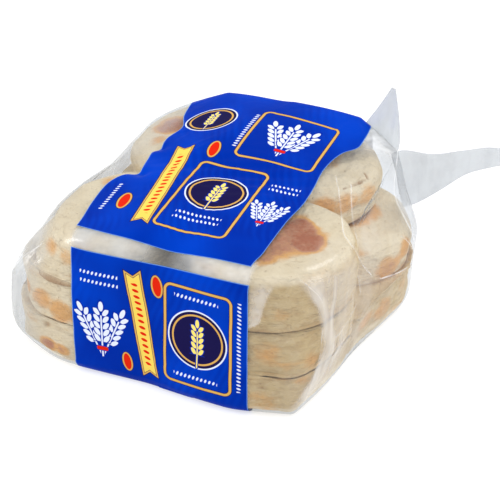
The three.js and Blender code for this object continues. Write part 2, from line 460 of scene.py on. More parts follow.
# ---- Muffins ---------------------------------------------------------
class Muffin:
    """A rounded disc: a flat ellipse swept by a ball, and tilted about the Y axis."""

    def __init__(self, stack, layer, x, y, radius=MUFFIN_RADIUS, shoulder=MUFFIN_SHOULDER,
                 tilt=0, lift=0, stretch=1):
        self.name = f"{stack}_{LAYER_NAMES[layer]}"
        self.stack, self.layer, self.radius = stack, layer, radius
        joints = PRESSED_JOINTS.get(stack, ())
        self.pressed = (layer - 1 in joints, layer in joints)
        self.centre = np.array([x, y, LAYER_HEIGHTS[layer] + lift])
        self.plate = radius - shoulder
        self.core = MUFFIN_HALF_HEIGHT - shoulder
        self.shoulder = shoulder
        self.stretch = stretch
        cosine, sine = math.cos(math.radians(tilt)), math.sin(math.radians(tilt))
        self.turn = np.array([[cosine, 0, sine], [0, 1, 0], [-sine, 0, cosine]])

    def support(self, normals):
        """How far the disc reaches along unit normals: centre, ellipse, core and ball added up."""
        n = normals @ self.turn
        flat = self.plate * np.hypot(n[..., 0], self.stretch * n[..., 1])
        return normals @ self.centre + flat + self.core * np.abs(n[..., 2]) + self.shoulder

    def distance(self, points):
        """Distance from points to the disc's surface, less than nothing inside it."""
        p = (points - self.centre) @ self.turn
        across = np.hypot(p[..., 0], p[..., 1] / self.stretch) - self.plate
        above = np.abs(p[..., 2]) - self.core
        outside = np.hypot(np.maximum(across, 0), np.maximum(above, 0))
        return outside + np.minimum(np.maximum(across, above), 0) - self.shoulder


MUFFINS = [
    Muffin(stack, layer, **place)
    for stack, places in STACKS.items()
    for layer, place in enumerate(places)
]


def face_and_rim(radius, shoulder, face_steps=20, round_steps=12):
    """Radius, height and facing out over a lower face, and round its rim as a quarter circle."""
    out = np.linspace(0, 1, face_steps + 1)[1:] * (radius - shoulder)
    bend = np.radians(np.linspace(-90, 0, round_steps + 1)[1:])
    face = np.stack([out, 0 * out - MUFFIN_HALF_HEIGHT, 0 * out, 0 * out - 1], axis=1)
    rim = np.stack([
        radius - shoulder + shoulder * np.cos(bend),
        shoulder * np.sin(bend) + shoulder - MUFFIN_HALF_HEIGHT,
        np.cos(bend),
        np.sin(bend),
    ], axis=1)
    return np.vstack([face, rim])


def muffin_profile(muffin, side_steps=11):
    """The half profile from near the lower pole to near the upper: face, rim, side, rim and face.

    A rim that presses on a neighbour is sharper than a free one. The upper half is a mirrored lower
    one.
    """
    radius = muffin.radius + SPREAD.get(muffin.name, 0)
    low, high = muffin.pressed
    free = muffin.shoulder if muffin.layer else BOTTOM_SHOULDER
    below = face_and_rim(radius, PRESSED_SHOULDER if low else free)
    above = face_and_rim(radius, PRESSED_SHOULDER if high else muffin.shoulder)
    above = above[::-1] * np.array([1, -1, 1, -1])
    up = np.linspace(below[-1, 1], above[0, 1], side_steps + 2)[1:-1]
    side = np.stack([0 * up + radius, up, 0 * up + 1, 0 * up], axis=1)
    return np.vstack([below, side, above])


def settled(muffin, points):
    """The heavier stack's joints lie lower: points drop by a bell about each joint's height."""
    if muffin.stack != SETTLED_STACK:
        return points
    drop = sum(np.exp(-((points[:, 2] - joint) / reach) ** 2) for joint, reach in SETTLED_JOINTS)
    return points - SETTLED_BY * drop[:, None] * np.array([0, 0, 1])


def muffin_shape(muffin, seed, lumpiness, ripple, around=200):
    """Points and faces of one muffin, with the painted shade of its creases and its side tan, which
    is partly painted shade.

    The profile is carried round the axis, pressed against its neighbours and held inside the film.
    Then each point moves in along its facing by lumps of several sizes, a bulge that draws in
    towards the faces, a fork line round the side that comes and goes, level creases, small pits,
    and the muffin's own cracks. The creases, pits, cracks and the dents between lumps also get
    painted shade in their colour. Where it touches a neighbour it stays smooth and gets the
    painted shade of a deep crease.
    """
    profile = muffin_profile(muffin)
    angles = np.linspace(0, 2 * math.pi, around, endpoint=False)
    radius, height, out, up = (profile[:, k, None] for k in range(4))
    middle, width, reach = LEANING.get(muffin.name, (0, 1, 0))
    turned = (np.degrees(angles) - middle + 180) % 360 - 180
    radius = radius * (1 + reach / muffin.radius * np.exp(-(turned / width) ** 2))
    ring = np.stack([np.cos(angles), np.sin(angles)])
    flat = 0 * angles
    local = np.stack([radius * ring[0], radius * ring[1] * muffin.stretch, height + flat], axis=-1)
    facing = unit(np.stack([out * ring[0], out * ring[1] / muffin.stretch, up + flat], axis=-1))
    poles = np.array([[0, 0, -MUFFIN_HALF_HEIGHT], [0, 0, MUFFIN_HALF_HEIGHT]])
    local = np.vstack([local.reshape(-1, 3), poles])
    facing = np.vstack([facing.reshape(-1, 3), unit(poles)])

    side = 1 - np.abs(facing[:, 2])
    level = local * (1, 1, 0)
    lumps = sum(tall * soft_noise(local * (drawn, drawn, 1), size, seed + number)
                for number, (tall, drawn, size) in enumerate(UNEVEN))
    fork_height = FORK_LINE_WANDER * soft_noise(level, 16, seed + 4)
    fork_line = np.exp(-((local[:, 2] - fork_height) / FORK_LINE_WIDTH) ** 2) * side
    fork_line *= ease(soft_noise(level, 22, seed + 5), -0.3, 0.7)
    creases = ease(soft_noise(local * (0.3, 0.3, 1), 4.2, seed + 6), 0.1, 0.9)
    creases *= side * ease(soft_noise(local, 14, seed + 9), -0.4, 0.6)
    pits = ease(soft_noise(local, 3.4, seed + 7), 0.66, 0.95)
    bulge = BULGE * (1 + 0.7 * soft_noise(level, 24, seed + 10)) * side
    move = lumpiness * np.minimum(lumps - 1, 0) - bulge * (local[:, 2] / MUFFIN_HALF_HEIGHT) ** 4
    move = move - FORK_LINE_DEPTH * fork_line - CREASE_DEPTH * creases - PIT_DEPTH * pits
    dents = ease(-lumps, 0.4, 1.9) * side

    points = settled(muffin, local @ muffin.turn.T + muffin.centre)
    points = hold_inside(press_apart(muffin, points), ripple)
    others = np.min([other.distance(points) for other in MUFFINS if other is not muffin], axis=0)
    touching = 1 - ease(others, *TOUCHING)
    move = move * (1 - PRESSED_SMOOTH * touching)
    # depth is painted shade: the darkening of creases, pits, dents and joints in the bread's
    # colour.
    kinds = (fork_line, creases, pits, dents, touching)
    depth = sum(dark * kind for dark, kind in zip(CREASE_SHADE, kinds))
    pressed = np.where(local[:, 2] > 0, muffin.pressed[1], muffin.pressed[0])
    side_colour_share = np.maximum(1 - ease(np.abs(facing[:, 2]), 0.3, 0.9), pressed)
    for start, end, deep, wide in CRACKS.get(muffin.name, ()):
        jitter = 0.8 * np.stack([soft_noise(local, 5, seed + 8 + k) for k in range(3)], axis=1)
        crack = np.exp(-(distance_to_line(points + jitter, [start, end]) / wide) ** 2)
        move = move - deep * crack
        # A crack gets painted shade as deep as it is, up to 1.
        depth = depth + crack * min(deep, 1)
    points = points + move[:, None] * (facing @ muffin.turn.T)

    rows = len(profile)
    faces = grid_faces(rows, around, closed=True)
    last = (rows - 1) * around
    low_pole, high_pole = rows * around, rows * around + 1
    for a, b in enumerate(np.roll(np.arange(around), -1).tolist()):
        faces += [[low_pole, b, a], [high_pole, last + a, last + b]]
    # The upright sides, and faces pressed on a neighbour, take the side tan: partly crust colour,
    # partly painted shade.
    tan_and_shade = SIDE_TAN_AND_SHADE.get(muffin.name, SIDE_TAN_AND_SHADE[muffin.stack]) * side_colour_share
    return points, outward(points, faces), {"depth": np.clip(depth, 0, 1), "tan_and_shade": tan_and_shade}


def press_apart(muffin, points, step=0.05):
    """Moves points that lie inside a neighbour half way out of it, as soft bread gives way."""
    for other in MUFFINS:
        if other is muffin:
            continue
        for _ in range(2):
            inside = np.flatnonzero(other.distance(points) < LEAST_GAP)
            if not len(inside):
                break
            held = points[inside]
            slope = np.stack([
                other.distance(held + step * axis) - other.distance(held - step * axis)
                for axis in np.eye(3)
            ], axis=1)
            depth = LEAST_GAP - other.distance(held)
            points[inside] = held + 0.5 * depth[:, None] * unit(slope + 1e-9)
    return points


def toast_of(muffin, points, seed, browning):
    """How brown each point is, 0 pale to 1 dark: hidden faces' griddle patch and the named places.

    The browner a named place is, the crisper its edge.
    """
    local = (points - muffin.centre) @ muffin.turn
    radius = np.hypot(local[:, 0], local[:, 1] / muffin.stretch)
    ragged = sum(tall * soft_noise(points, size, seed + 20 + number)
                 for number, (tall, size) in enumerate(RAGGED))
    face = ease(np.abs(local[:, 2]), MUFFIN_HALF_HEIGHT - 3.5, MUFFIN_HALF_HEIGHT - 1)
    patch = 1 - ease(radius + ragged, *(share * MUFFIN_RADIUS for share in GRIDDLE_PATCH))
    hidden = (local[:, 2] < 0) | (muffin.layer < len(LAYER_NAMES) - 1)
    rim = np.exp(-((np.abs(local[:, 2]) - 10.5) / 3.5) ** 2) * (radius > 0.75 * MUFFIN_RADIUS)
    rim = rim * ease(soft_noise(points, 19, seed + 22), -0.2, 0.7)
    toast = HIDDEN_BROWN * hidden * face * patch + RIM_BROWN * rim
    for at, wide, brown in TOASTED.get(muffin.name, ()):
        off = np.linalg.norm((points - np.array(at)) * (1, 1, 1.25), axis=1) / wide + ragged / 26
        toast = np.maximum(toast, brown * (1 - ease(off, 0.1 + 0.5 * brown, 1.28 - 0.14 * brown)))
    return np.clip(browning * toast, 0, 1)


def hold_inside(points, strength):
    """Draws back towards the core whatever would come nearer than BREAD_INSIDE to the film."""
    away = points - CORE
    reach = np.linalg.norm(away, axis=1)
    film = film_surface(CORE, away / reach[:, None], strength)[0]
    room = np.linalg.norm(film - CORE, axis=1) - BREAD_INSIDE
    return CORE + away * np.minimum(room / reach, 1)[:, None]


# ---- Film ------------------------------------------------------------
def spread_facings(count):
    """Unit vectors spread over the sphere: even steps of height, turned by the golden angle."""
    k = np.arange(count) + 0.5
    z = 1 - 2 * k / count
    turn = math.pi * (1 + math.sqrt(5)) * k
    ring = np.sqrt(1 - z * z)
    return np.stack([ring * np.cos(turn), ring * np.sin(turn), z], axis=1)


def contents_reach(normals):
    """The furthest that muffins with their film, or its corners, reach along unit normals."""
    reaches = [normals @ np.array(at, float) + radius for at, radius in FILM_CORNERS]
    reaches += [muffin.support(normals) + FILM_CLEARANCE for muffin in MUFFINS]
    return np.max(reaches, axis=0)


def taut_film(origins, directions, count=2400, steps=5):
    """Where rays from inside the pack meet the taut film, and the film's facing there.

    Taut film is the hull of its contents: a plane facing n lies at the contents' furthest reach
    along n, and a ray meets it after (reach - n.origin) / n.direction. The ray leaves at the
    nearest plane. The best of many spread facings is found first, then turned in ever smaller
    steps.
    """
    origins = np.broadcast_to(origins, directions.shape)
    spread = spread_facings(count).astype(np.float32)
    reach = contents_reach(spread).astype(np.float32)
    best = np.empty(len(directions), np.int64)
    for rows in np.array_split(np.arange(len(directions)), len(directions) // 1500 + 1):
        ahead = directions[rows].astype(np.float32) @ spread.T
        room = reach - origins[rows].astype(np.float32) @ spread.T
        best[rows] = np.where(ahead > 0.05, room / np.maximum(ahead, 0.05), np.inf).argmin(axis=1)
    facing = unit(spread[best].astype(float))
    turn = math.sqrt(4 * math.pi / count) / 2
    for _ in range(steps):
        across = unit(np.cross(facing, np.where(np.abs(facing[:, 2:]) < 0.9, (0, 0, 1), (1, 0, 0))))
        along = np.cross(facing, across)
        ring = [facing]
        for k in range(6):
            tilt = math.cos(k * math.pi / 3) * across + math.sin(k * math.pi / 3) * along
            ring.append(unit(facing + turn * tilt))
        ring = np.stack(ring)
        travel = (contents_reach(ring) - (ring * origins).sum(-1)) / (ring * directions).sum(-1)
        facing = ring[travel.argmin(axis=0), np.arange(len(facing))]
        turn /= 2
    travel = (contents_reach(facing) - (facing * origins).sum(-1)) / (facing * directions).sum(-1)
    return origins + travel[:, None] * directions, facing


def gap_to_bread(points):
    """Distance from points to the bread, eased where two muffins are about as near."""
    distances = np.stack([muffin.distance(points) for muffin in MUFFINS])
    least = distances.min(axis=0)
    return least - GAP_EASE * np.log(np.exp((least - distances) / GAP_EASE).sum(axis=0))


def film_relief(points, facing, strength):
    """Height of pleats, folds and ripples over the smooth film.

    Pleats, and waves across them, lie on the top panel and fade out round their own middles. Each
    fold is a bell-shaped ridge or furrow along its line, and ripples are noise drawn out up and
    down the ends, over broad soft waves.
    """
    x, y, z = points.T
    wander = 1.6 * soft_noise(points, 17, 40)
    top = ease(facing[:, 2], 0.7, 0.95)
    pleats = np.sin(2 * math.pi * (PLEAT_RUN[0] * x + PLEAT_RUN[1] * y + wander) / PLEAT_PITCH)
    pleats *= PLEAT_HEIGHT * np.exp(-((x + 8) / 30) ** 2 - ((y + 56) / 27) ** 2) * top
    across = np.sin(2 * math.pi * (0.35 * x - 0.94 * y + wander) / WAVE_PITCH)
    across *= WAVE_HEIGHT * np.exp(-((x - 5) / 45) ** 2 - ((y + 5) / 24) ** 2) * top
    upright = points * (1, 1, 0.28)
    ripples = 0.26 * soft_noise(upright, 13, 41) + 0.07 * soft_noise(upright, 5, 42)
    ripples *= ease(np.abs(x - 2), 55, 75)
    relief = pleats + across + ripples + BROAD_HEIGHT * soft_noise(points, 31, 43)
    for line, (_, height, width) in zip(FOLD_LINES, FOLDS):
        relief = relief + height * line_bell(points, line, width)
    return strength * relief


def on_film(knots, spacing=3.5):
    """A smooth line through the knots, as points of the taut film at the given spacing."""
    length = np.linalg.norm(np.diff(np.array(knots, float), axis=0), axis=1).sum()
    curve = smooth_curve(knots, np.linspace(0, 1, max(int(length / spacing), 2) + 1))
    return taut_film(CORE, unit(curve - CORE))[0]


def line_bell(points, line, width):
    """A bell across a line, 1 on it: worked out only for points within three widths of its box."""
    near = near_box(points, line, 3 * width)
    bell = np.zeros(len(points))
    bell[near] = np.exp(-(distance_to_line(points[near], line) / width) ** 2)
    return bell


FOLD_LINES = [on_film(knots) for knots, _, _ in FOLDS]


def folds_at(points, facing, far=4.0):
    """Distance to the nearest raised fold, signed by the side of it, and that fold's height.

    The side is that of (run x offset) . facing for the nearest stretch of the line. Beyond far the
    distance stays at far and the height is nothing.
    """
    signed = np.full(len(points), far)
    height = np.zeros(len(points))
    for line, (_, fold_height, _) in zip(FOLD_LINES, FOLDS):
        if fold_height <= 0:
            continue
        near = near_box(points, line, far)
        for start, run in zip(line[:-1], np.diff(line, axis=0)):
            offset = off_stretch(points[near], start, run)
            away = np.linalg.norm(offset, axis=1)
            side = np.where((np.cross(run, offset) * facing[near]).sum(axis=1) < 0, -1, 1)
            closer = away < np.abs(signed[near])
            signed[near[closer]] = (side * away)[closer]
            height[near[closer]] = fold_height
    return signed, height * (1 - ease(np.abs(signed), 0.5 * far, far))


def film_surface(origins, directions, strength):
    """The bag's film along rays: taut over its contents, dipped into the gaps, with its folds.

    The dip grows with the gap to the bread and levels off at FILM_SAG. Its upright part and the
    folds fade out by the underside, which is flat.
    """
    points, facing = taut_film(origins, directions)
    gap = np.maximum(gap_to_bread(points) - FILM_CLEARANCE, 0)
    fade = np.clip(points[:, 2] / SAG_START, 0, 1)[:, None]
    dip = FILM_SAG * (1 - np.exp(-SAG_SHARE * gap / FILM_SAG))[:, None]
    relief = film_relief(points, facing, strength)[:, None]
    upright = np.array([0, 0, 1])
    moved = points + fade * relief * facing - dip * facing * (1 - upright + upright * fade)
    return moved, facing, gap, points


def film_cuts():
    """Grid lines of the film's box: close together at the clear ends, wider under the print."""
    stretches = (-100, -51, 40), (-47, 39, 26), (42, 100, 55)
    x = np.concatenate([np.linspace(*stretch) for stretch in stretches])
    y = np.linspace(-95, 95, 150)
    z = np.linspace(-50, 50, 84)
    return x, y, z


def veils_of(points, gap):
    """The film's grey haze and its white glare at each point, as shares of the film's own colour.

    Haze grows where the film stands off the bread and in the regions of HAZY. Glare lies round the
    clear oval on the front right stack, in upright streaks at that stack's corner, in the open
    strip along the front top edge, whose left part is hazier and duller, and where the film is
    gathered to its flared end.
    """
    x, y, z = points.T
    haze = 0.07 * ease(gap, 1.5, 7) + sum(most * region(points, *where) for most, *where in HAZY)
    middle_x, middle_z, half_left, half_right, half_z = CLEAR_OVAL
    left_of_middle = x < middle_x
    across = (x - middle_x) / np.where(left_of_middle, half_left, half_right)
    across = across * np.where(left_of_middle, ease(z, 54, 68), 1)
    oval = np.hypot(across, (z - middle_z) / half_z) + 0.035 * soft_noise(points, 9, 60)
    streaks = 0.5 + 0.5 * soft_noise(points * (1, 1, 0.1), 3.2, 61)
    crinkle = 0.5 + 0.5 * soft_noise(points, 2.4, 62)
    right = ease(x, 70, 82)
    # The oval's edge is at 1: glare starts there and thins out further off.
    left_side = (0.2 + 0.16 * crinkle) * (1 - 0.8 * ease(oval, 1.15, 1.75))
    right_side = 0.16 + 0.24 * streaks ** 2 + 0.12 * np.exp(-((oval - 1.12) / 0.1) ** 2)
    right_side = right_side * (1 - 0.6 * ease(oval, 1.3, 2.1))
    glare = region(points, *GLARE_CORNER) * ease(oval, 0.95, 1.06)
    glare = glare * (left_side + right * (right_side - left_side))
    glare = glare * (1 - (1 - 0.25 * right) * ease(z, 87, 94))
    strip = region(points, *OPEN_STRIP) * (1 - ease(np.abs(x - BAND_MIDDLE), 54, 58))
    strip = strip * (1 - np.exp(-((x + 4) / 13) ** 2))
    duller = strip * ease(-x, -5, 10)
    haze = haze + 0.16 * strip + 0.2 * duller
    glare = np.maximum(glare, (strip - 0.6 * duller) * (0.1 + 0.12 * streaks + 0.14 * crinkle))
    gathered = np.exp(-(np.linalg.norm(points - GATHERING, axis=1) / 16) ** 2)
    return haze, np.clip(glare + MOST_GLARE * gathered * (0.5 + 0.5 * crinkle), 0, MOST_GLARE)


# ---- Printed band ----------------------------------------------------
def band_rows(start, end, count, turn=0.0):
    """Angles about the core axis, and depths along Y, at even steps of arc of the middle section.

    They run from one point of the section to another, and turn is added to the last one's angle.
    """
    first, last = (math.atan2(z - CORE[2], y) for y, z in (start, end))
    dense = np.linspace(first, last + turn, SECTION_STEPS)
    section = taut_film(CORE + (BAND_MIDDLE, 0, 0),
                        np.stack([0 * dense, np.cos(dense), np.sin(dense)], axis=1))[0]
    run = np.concatenate([[0], np.cumsum(np.linalg.norm(np.diff(section, axis=0), axis=1))])
    along = np.linspace(0, run[-1], count)
    return np.interp(along, run, dense), np.interp(along, run, section[:, 1])


STRIP_START = [math.atan2(z - CORE[2], y) for y, z in STRIP_LOWER]  # at the band's left and right
FRONT_ANGLES = band_rows(STRIP_LOWER[0], UNDER_FRONT, FRONT_ROWS, 2 * math.pi)[0]
TOP_ANGLES, TOP_DEPTHS = band_rows(STRIP_UPPER, UNDER_BACK, TOP_ROWS)


def top_edges(angles, depths):
    """Left and right edges along X of the top panel: by depth over the top, and straight behind."""
    edges = []
    for knots in (BAND_LEFT_TOP, BAND_RIGHT_TOP):
        curve = smooth_curve(knots, np.linspace(0, 1, 400))
        over, behind = (np.interp(at, curve[:, 0], curve[:, 1]) for at in (depths, BEHIND))
        edges.append(np.where(angles < BEHIND_ANGLE, behind, over))
    return edges


def inside_band(points):
    """How far points of the film lie inside the nearest edge of a printed panel, in millimetres."""
    x, y, z = points.T
    reach = np.hypot(y, z - CORE[2])
    angle = np.arctan2(z - CORE[2], y)
    turned = np.where(angle < 0, angle + 2 * math.pi, angle)
    across = (x - BAND_LEFT_FRONT) / (BAND_RIGHT_FRONT - BAND_LEFT_FRONT)
    start = STRIP_START[0] + (STRIP_START[1] - STRIP_START[0]) * across
    front = np.min([x - BAND_LEFT_FRONT, BAND_RIGHT_FRONT - x, reach * (turned - start),
                    reach * (FRONT_ANGLES[-1] - turned)], axis=0)
    left, right = top_edges(angle, np.interp(-angle, -TOP_ANGLES, TOP_DEPTHS))
    top = np.min([x - left, right - x, reach * (TOP_ANGLES[0] - angle),
                  reach * (angle - TOP_ANGLES[-1])], axis=0)
    return np.maximum(front, top)


def band_panel(angles, left, right, rise, strength):
    """A printed panel: columns from edge to edge and rows by angle, just outside the film.

    left and right are each row's edges along X. rise turns the first row's right end, by less
    towards its left end, and fades out by the last row. The second result is each point's place on
    the print in millimetres: along X from the front panel's left edge, along the film from the
    first row, and in from the side.
    """
    across = np.linspace(0, 1, PANEL_COLUMNS)
    share = np.linspace(1, 0, len(angles))[:, None]
    x = left[:, None] + (right - left)[:, None] * across
    angle = angles[:, None] + share * (rise * across)
    directions = np.stack([0 * x, np.cos(angle), np.sin(angle)], axis=-1).reshape(-1, 3)
    origins = np.stack([x, 0 * x, 0 * x + CORE[2]], axis=-1).reshape(-1, 3)
    points, facing = film_surface(origins, directions, strength)[:2]
    points = points + PRINT_OUTSIDE * facing
    points[:, 2] = np.maximum(points[:, 2], PRINT_FLOOR)
    rows = points.reshape(len(angles), PANEL_COLUMNS, 3)
    steps = np.linalg.norm(np.diff(rows, axis=0), axis=2).mean(axis=1)
    run = np.concatenate([[0], np.cumsum(steps)])[:, None]
    within = np.minimum(x - left[:, None], right[:, None] - x)
    at = np.stack([x - BAND_LEFT_FRONT, run + 0 * x, within], axis=-1).reshape(-1, 3)
    return points, at


# ---- Flared end ------------------------------------------------------
def lobe_sheet(lobe, strength, columns=40, rows=90):
    """A thin closed sheet ruled between two edges, with folds that run along and open outwards."""
    across, along = np.meshgrid(np.linspace(0, 1, columns), np.linspace(lobe["start"], 1, rows))
    left = smooth_curve(lobe["left"], along[:, 0])[:, None]
    right = smooth_curve(lobe["right"], along[:, 0])[:, None]
    middle = left + (right - left) * across[..., None]
    facing = unit(np.array(lobe["facing"], float))
    width = np.linalg.norm(right - left, axis=-1)
    flat = middle.reshape(-1, 3)
    drift = 0.35 * soft_noise(flat, 40, 50).reshape(across.shape)
    waves = LOBE_WAVE * np.sin(2 * math.pi * (LOBE_WAVES * across + drift))
    waves = waves + 0.5 * soft_noise(flat, 22, 51).reshape(across.shape)
    waves = waves * np.minimum(width / 25, 1) * np.sin(math.pi * np.clip(across, 0.04, 0.96)) ** 0.5
    middle = middle + (strength * waves)[..., None] * facing
    half = 0.5 * LOBE_THICKNESS * facing
    front, back = (middle + half).reshape(-1, 3), (middle - half).reshape(-1, 3)
    points = np.vstack([front, back])
    count = rows * columns
    sheet = np.array(grid_faces(rows, columns))
    faces = sheet.tolist() + (sheet[:, ::-1] + count).tolist()
    number = np.arange(count).reshape(rows, columns)
    rim = np.concatenate([number[0], number[1:, -1], number[-1, -2::-1], number[-2:0:-1, 0]])
    following = np.roll(rim, -1)
    faces += np.stack([rim, rim + count, following + count, following], axis=1).tolist()
    return points, outward(points, faces)


# ---- Materials -------------------------------------------------------
def linear(shade):
    """A colour of three numbers from 0 to 255 as the renderer's linear colour with alpha."""
    part = np.array(shade) / 255
    part = np.where(part <= 0.04045, part / 12.92, ((part + 0.055) / 1.055) ** 2.4)
    return (*part.tolist(), 1.0)


class Value:
    """What a node gives, to reckon with in plain sums. Each sum lays one more node on the sheet."""

    def __init__(self, sheet, socket):
        self.sheet, self.socket = sheet, socket

    def __add__(self, other):
        return self.sheet.math("ADD", self, other)

    def __sub__(self, other):
        return self.sheet.math("SUBTRACT", self, other)

    def __mul__(self, other):
        return self.sheet.math("MULTIPLY", self, other)

    def __truediv__(self, other):
        return self.sheet.math("DIVIDE", self, other)

    def __pow__(self, other):
        return self.sheet.math("POWER", self, other)

    def __abs__(self):
        return self.sheet.math("ABSOLUTE", self)

    def step(self, low, high, start=0.0, end=1.0):
        """A smooth step from start at low to end at high."""
        inputs = {0: self, 1: low, 2: high, 3: start, 4: end}
        return self.sheet.value("MapRange", inputs, interpolation_type="SMOOTHSTEP")


class Sheet:
    """The node sheet of a material or world. Sizes of noise are in cells to the metre."""

    def __init__(self, owner):
        owner.use_nodes = True
        self.owner, self.tree = owner, owner.node_tree
        self.tree.nodes.clear()

    def lay(self, kind, inputs=None, **settings):
        """Lays one node and links or sets what it is given."""
        node = self.tree.nodes.new("ShaderNode" + kind)
        for key, setting in settings.items():
            setattr(node, key, setting)
        for key, value in (inputs or {}).items():
            if isinstance(value, Value):
                self.tree.links.new(value.socket, node.inputs[key])
            else:
                node.inputs[key].default_value = value
        return node

    def value(self, kind, inputs=None, output=0, **settings):
        return Value(self, self.lay(kind, inputs, **settings).outputs[output])

    def math(self, operation, *values, clamp=False):
        return self.value("Math", dict(enumerate(values)), operation=operation, use_clamp=clamp)

    def mix(self, share, low, high):
        """From the colour low at share 0 to high at share 1."""
        return self.value("Mix", {0: share, 6: low, 7: high}, 2, data_type="RGBA")

    def place(self):
        """The point's own place on the object, in metres."""
        return self.value("TexCoord", output="Object")

    def drawn(self, place, height):
        """The place with its height scaled, so that noise comes out flat above 1 and tall below."""
        return self.value("Mapping", {"Vector": place, "Scale": (1.0, 1.0, height)})

    def noise(self, place, scale, detail=3.0, roughness=0.55):
        inputs = {"Vector": place, "Scale": scale, "Detail": detail, "Roughness": roughness}
        return self.value("TexNoise", inputs, "Fac")

    def attribute(self, name, output="Fac"):
        return self.value("Attribute", output=output, attribute_name=name)

    def bump(self, height, strength, distance, **under):
        inputs = {"Height": height, "Strength": strength, "Distance": distance, **under}
        return self.value("Bump", inputs)

    def finish(self, shader, output="OutputMaterial"):
        self.lay(output, {"Surface": shader})
        return self.owner


def bread_material(settings):
    """Floury bread: pale faces, tan sides partly of painted shade, browned by the toast attribute,
    pores and dusting, with painted shade in its creases, joints, pores, wrinkles and hollows.
    """
    sheet = Sheet(bpy.data.materials.new("floury_bread"))
    place = sheet.place()
    level = sheet.drawn(place, 2.4)
    toast, depth, tan_and_shade = (sheet.attribute(name) for name in ("toast", "depth", "tan_and_shade"))
    clouds = sheet.noise(place, 60, 2) - 0.5
    blotches = sheet.noise(level, 95, 4) - 0.5
    speckle = sheet.noise(place, 420, 3)
    mottle = (sheet.noise(place, 170, 4, 0.65) - 0.5) * toast
    browned = toast + clouds * 0.3 + blotches * 0.3 + mottle * 0.9 + (speckle - 0.5) * 0.1
    # The share of the side colour, which is partly painted shade on the upright sides.
    side_colour_share = (blotches * 1.1 + tan_and_shade).step(-0.2, 1.2)
    colour = sheet.mix(side_colour_share, settings.flour_colour, settings.side_colour)
    for low, high, deeper in (
        (0.08, 0.46, settings.golden_colour),
        (0.46, 0.78, settings.toast_colour),
        (0.72, 1.06, settings.brown_colour),
    ):
        colour = sheet.mix(browned.step(low, high), colour, deeper)

    pore = sheet.value("TexVoronoi", {"Vector": place, "Scale": 330.0}, "Distance")
    pore = pore.step(0.10, 0.26, 1.0, 0.0) * sheet.noise(place, 140, 2).step(0.5, 0.62)
    wrinkle = abs(sheet.noise(level, 60, 2, 0.45) - 0.5).step(0.002, 0.02, 1.0, 0.0)
    wrinkle = wrinkle * sheet.noise(place, 34, 1).step(0.53, 0.68)
    hollow = sheet.noise(level, 120, 2)
    shaded = hollow.step(0.38, 0.56, 0.14, 0.0) * (tan_and_shade + 0.3)
    # Painted shade: pores, wrinkles, hollows and the depth attribute's creases and joints darken
    # towards the crease colour.
    for share in (pore * 0.3, wrinkle * 0.18, shaded, depth.step(0.1, 1.0, 0.0, 0.8)):
        colour = sheet.mix(share, colour, settings.crease_shade_colour)
    dusting = sheet.noise(place, 700, 2, 0.7).step(0.56, 0.74, 0.0, 0.2)
    dusting = dusting * browned.step(0.4, 0.9, 1.0, 0.3)
    colour = sheet.mix(dusting, colour, settings.dust_colour)

    dents = sheet.bump(hollow, 0.9, 0.003)
    bump = sheet.bump(speckle * 0.6 - pore * 0.8 - wrinkle, 0.5, 0.0006, Normal=dents)
    return sheet.finish(sheet.value("BsdfPrincipled", {
        "Base Color": colour, "Roughness": 0.9, "Specular IOR Level": 0.1, "Normal": bump,
    }))


def film_material(settings, name, veil_low):
    """Clear film: a see-through sheet with grey haze, white glare where it stands off, and a gloss.

    Raised folds shine along their lines. The gloss grows from face on to edge on by Schlick's rule:
    the least, plus the rest times the fifth power of how edge on the film is seen.
    """
    sheet = Sheet(bpy.data.materials.new(name))
    place = sheet.place()
    drawn = sheet.drawn(place, 0.25)
    shine = abs(sheet.attribute("fold")).step(0.15, 0.75, 0.6, 0.0) * sheet.attribute("fold_height")
    shine = shine * sheet.noise(place, 90, 2).step(0.35, 0.6, 0.35, 1.0)
    glare = sheet.math("MAXIMUM", sheet.attribute("glare"), shine) * settings.glare
    soft = sheet.noise(drawn, 70, 3).step(0.3, 0.7, 0.75, 1.25)
    veil = sheet.math("ADD", (sheet.attribute("haze") + veil_low) * soft, glare, clamp=True)
    whiteness = sheet.math("DIVIDE", glare, veil + 0.001, clamp=True)
    # The diffuse colour is the film's grey haze, whitened by glare: a painted highlight, also along
    # raised folds.
    haze_and_glare = sheet.mix(whiteness, settings.haze_colour, settings.glare_colour)
    body = sheet.value("MixShader", {
        0: veil,
        1: sheet.value("BsdfTransparent", {"Color": settings.film_colour}),
        2: sheet.value("BsdfDiffuse", {"Color": haze_and_glare}),
    })
    bump = sheet.bump(sheet.noise(drawn, 150, 2), 0.25, 0.001)
    gloss = sheet.value("BsdfGlossy", {
        "Color": (1, 1, 1, 1), "Roughness": settings.gloss_roughness, "Normal": bump,
    })
    edge_on = sheet.value("LayerWeight", {"Blend": 0.5, "Normal": bump}, "Facing")
    share = edge_on ** 5.0 * (GLOSS_MOST - GLOSS_LEAST) + GLOSS_LEAST
    return sheet.finish(sheet.value("MixShader", {0: share, 1: body, 2: gloss}))


